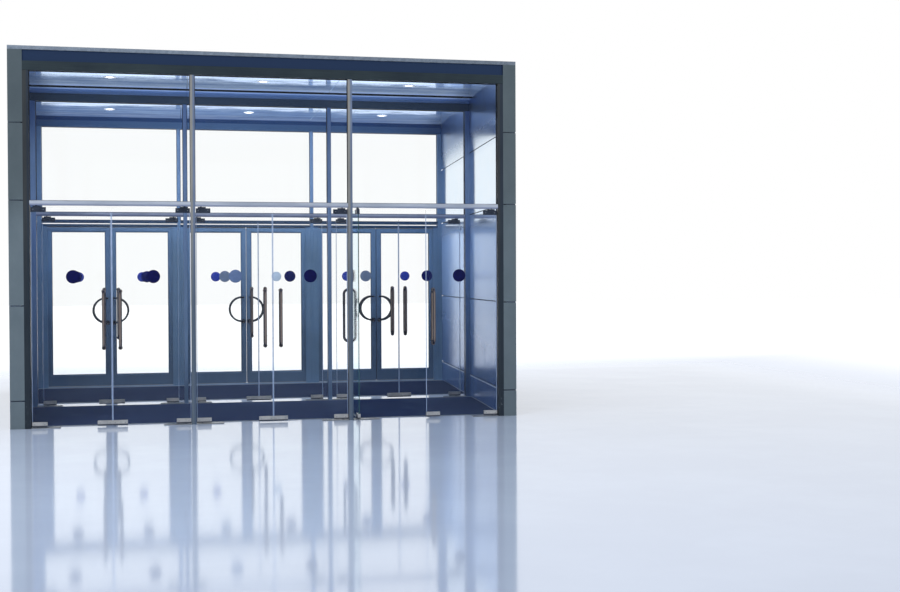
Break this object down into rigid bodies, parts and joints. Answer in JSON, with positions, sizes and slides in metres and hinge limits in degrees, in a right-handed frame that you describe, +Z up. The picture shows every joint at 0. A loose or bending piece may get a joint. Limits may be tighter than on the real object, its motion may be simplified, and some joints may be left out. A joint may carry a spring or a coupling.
{
  "type": "glazed draught lobby with double doors",
  "caption": "Glazed entrance lobby with rows of double doors one behind another between splayed, metal-clad walls; glass leaves with patch fittings inside, framed leaves outside.",
  "frame": {"origin": "middle of the lobby's footprint, on the floor", "axes": "+X to the right seen from indoors, +Y outwards through the doors, +Z up"},
  "size_m": [6.3666, 5.429, 4.1],
  "materials": {
    "satin_aluminium": "satin anodised extrusion",
    "dark_frames": "satin dark blue-grey coating",
    "clear_glass": "clear toughened glass with a green-blue edge",
    "polished_cladding": "polished metal panels with a blue cast",
    "wall_core": "matt dark coating",
    "ceiling_metal": "polished metal ceiling panels",
    "deck_metal": "matt coated sheet",
    "lamp_white": "white lamp trim",
    "satin_stainless": "satin stainless steel",
    "dark_steel": "blackened steel",
    "mat_ribs": "ribbed dark entrance matting"
  },
  "bodies": {
    "lobby": {"inner_posts": "satin_aluminium", "middle_posts": "satin_aluminium", "outer_posts": "dark_frames", "head_rails": "satin_aluminium", "transoms": "satin_aluminium", "fixed_glass": "clear_glass", "wall_cores": "wall_core", "left_cladding": "polished_cladding", "right_cladding": "polished_cladding", "ceiling_panels": "ceiling_metal", "air_grille": "dark_steel", "roof_deck": "deck_metal", "downlights": "lamp_white", "floor_springs": "satin_stainless", "top_pivots": "dark_steel", "entrance_mats": "mat_ribs", "mat_edging": "satin_aluminium"},
    "inner_leaf_1": {"inner_glass_1": "clear_glass", "inner_fittings_1": "satin_stainless"},
    "inner_leaf_2": {"inner_glass_2": "clear_glass", "inner_fittings_2": "satin_stainless"},
    "inner_leaf_3": {"inner_glass_3": "clear_glass", "inner_fittings_3": "satin_stainless"},
    "inner_leaf_4": {"inner_glass_4": "clear_glass", "inner_fittings_4": "satin_stainless"},
    "inner_leaf_5": {"inner_glass_5": "clear_glass", "inner_fittings_5": "satin_stainless"},
    "inner_leaf_6": {"inner_glass_6": "clear_glass", "inner_fittings_6": "satin_stainless"},
    "middle_leaf_1": {"middle_glass_1": "clear_glass", "middle_fittings_1": "satin_stainless"},
    "middle_leaf_2": {"middle_glass_2": "clear_glass", "middle_fittings_2": "satin_stainless"},
    "middle_leaf_3": {"middle_glass_3": "clear_glass", "middle_fittings_3": "satin_stainless"},
    "middle_leaf_4": {"middle_glass_4": "clear_glass", "middle_fittings_4": "satin_stainless"},
    "middle_leaf_5": {"middle_glass_5": "clear_glass", "middle_fittings_5": "satin_stainless"},
    "middle_leaf_6": {"middle_glass_6": "clear_glass", "middle_fittings_6": "satin_stainless"},
    "outer_leaf_1": {"outer_frame_1": "dark_frames", "outer_glass_1": "clear_glass", "outer_handles_1": "dark_steel"},
    "outer_leaf_2": {"outer_frame_2": "dark_frames", "outer_glass_2": "clear_glass", "outer_handles_2": "dark_steel"},
    "outer_leaf_3": {"outer_frame_3": "dark_frames", "outer_glass_3": "clear_glass", "outer_handles_3": "dark_steel"},
    "outer_leaf_4": {"outer_frame_4": "dark_frames", "outer_glass_4": "clear_glass", "outer_handles_4": "dark_steel"},
    "outer_leaf_5": {"outer_frame_5": "dark_frames", "outer_glass_5": "clear_glass", "outer_handles_5": "dark_steel"},
    "outer_leaf_6": {"outer_frame_6": "dark_frames", "outer_glass_6": "clear_glass", "outer_handles_6": "dark_steel"}
  },
  "joints": [
    {"name": "inner_door_1", "type": "hinge", "parent": "lobby", "child": "inner_leaf_1", "pos_m": [-2.522, -2.631, 0], "axis": [0, 0, 1], "range_deg": [-90, 90], "stiffness_Nm_per_rad": 25},
    {"name": "inner_door_2", "type": "hinge", "parent": "lobby", "child": "inner_leaf_2", "pos_m": [-0.958, -2.631, 0], "axis": [0, 0, -1], "range_deg": [-90, 90], "stiffness_Nm_per_rad": 25},
    {"name": "inner_door_3", "type": "hinge", "parent": "lobby", "child": "inner_leaf_3", "pos_m": [-0.782, -2.631, 0], "axis": [0, 0, 1], "range_deg": [-90, 90], "stiffness_Nm_per_rad": 25},
    {"name": "inner_door_4", "type": "hinge", "parent": "lobby", "child": "inner_leaf_4", "pos_m": [0.782, -2.631, 0], "axis": [0, 0, -1], "range_deg": [-90, 90], "stiffness_Nm_per_rad": 25},
    {"name": "inner_door_5", "type": "hinge", "parent": "lobby", "child": "inner_leaf_5", "pos_m": [0.958, -2.631, 0], "axis": [0, 0, 1], "range_deg": [-180, 0]},
    {"name": "inner_door_6", "type": "hinge", "parent": "lobby", "child": "inner_leaf_6", "pos_m": [2.522, -2.631, 0], "axis": [0, 0, -1], "range_deg": [-90, 90], "stiffness_Nm_per_rad": 25},
    {"name": "middle_door_1", "type": "hinge", "parent": "lobby", "child": "middle_leaf_1", "pos_m": [-2.63762, -0.181, 0], "axis": [0, 0, 1], "range_deg": [-90, 90], "stiffness_Nm_per_rad": 25},
    {"name": "middle_door_2", "type": "hinge", "parent": "lobby", "child": "middle_leaf_2", "pos_m": [-1.07654, -0.181, 0], "axis": [0, 0, -1], "range_deg": [-90, 90], "stiffness_Nm_per_rad": 25},
    {"name": "middle_door_3", "type": "hinge", "parent": "lobby", "child": "middle_leaf_3", "pos_m": [-0.78054, -0.181, 0], "axis": [0, 0, 1], "range_deg": [-90, 90], "stiffness_Nm_per_rad": 25},
    {"name": "middle_door_4", "type": "hinge", "parent": "lobby", "child": "middle_leaf_4", "pos_m": [0.78054, -0.181, 0], "axis": [0, 0, -1], "range_deg": [-90, 90], "stiffness_Nm_per_rad": 25},
    {"name": "middle_door_5", "type": "hinge", "parent": "lobby", "child": "middle_leaf_5", "pos_m": [1.07654, -0.181, 0], "axis": [0, 0, 1], "range_deg": [-90, 90], "stiffness_Nm_per_rad": 25},
    {"name": "middle_door_6", "type": "hinge", "parent": "lobby", "child": "middle_leaf_6", "pos_m": [2.63762, -0.181, 0], "axis": [0, 0, -1], "range_deg": [-90, 90], "stiffness_Nm_per_rad": 25},
    {"name": "outer_door_1", "type": "hinge", "parent": "lobby", "child": "outer_leaf_1", "pos_m": [-2.89982, 2.6585, 0], "axis": [0, 0, 1], "range_deg": [0, 90], "stiffness_Nm_per_rad": 15},
    {"name": "outer_door_2", "type": "hinge", "parent": "lobby", "child": "outer_leaf_2", "pos_m": [-1.08194, 2.6585, 0], "axis": [0, 0, -1], "range_deg": [0, 90], "stiffness_Nm_per_rad": 15},
    {"name": "outer_door_3", "type": "hinge", "parent": "lobby", "child": "outer_leaf_3", "pos_m": [-0.90894, 2.6585, 0], "axis": [0, 0, 1], "range_deg": [0, 90], "stiffness_Nm_per_rad": 15},
    {"name": "outer_door_4", "type": "hinge", "parent": "lobby", "child": "outer_leaf_4", "pos_m": [0.90894, 2.6585, 0], "axis": [0, 0, -1], "range_deg": [0, 90], "stiffness_Nm_per_rad": 15},
    {"name": "outer_door_5", "type": "hinge", "parent": "lobby", "child": "outer_leaf_5", "pos_m": [1.08194, 2.6585, 0], "axis": [0, 0, 1], "range_deg": [0, 90], "stiffness_Nm_per_rad": 15},
    {"name": "outer_door_6", "type": "hinge", "parent": "lobby", "child": "outer_leaf_6", "pos_m": [2.89982, 2.6585, 0], "axis": [0, 0, -1], "range_deg": [0, 90], "stiffness_Nm_per_rad": 15}
  ]
}
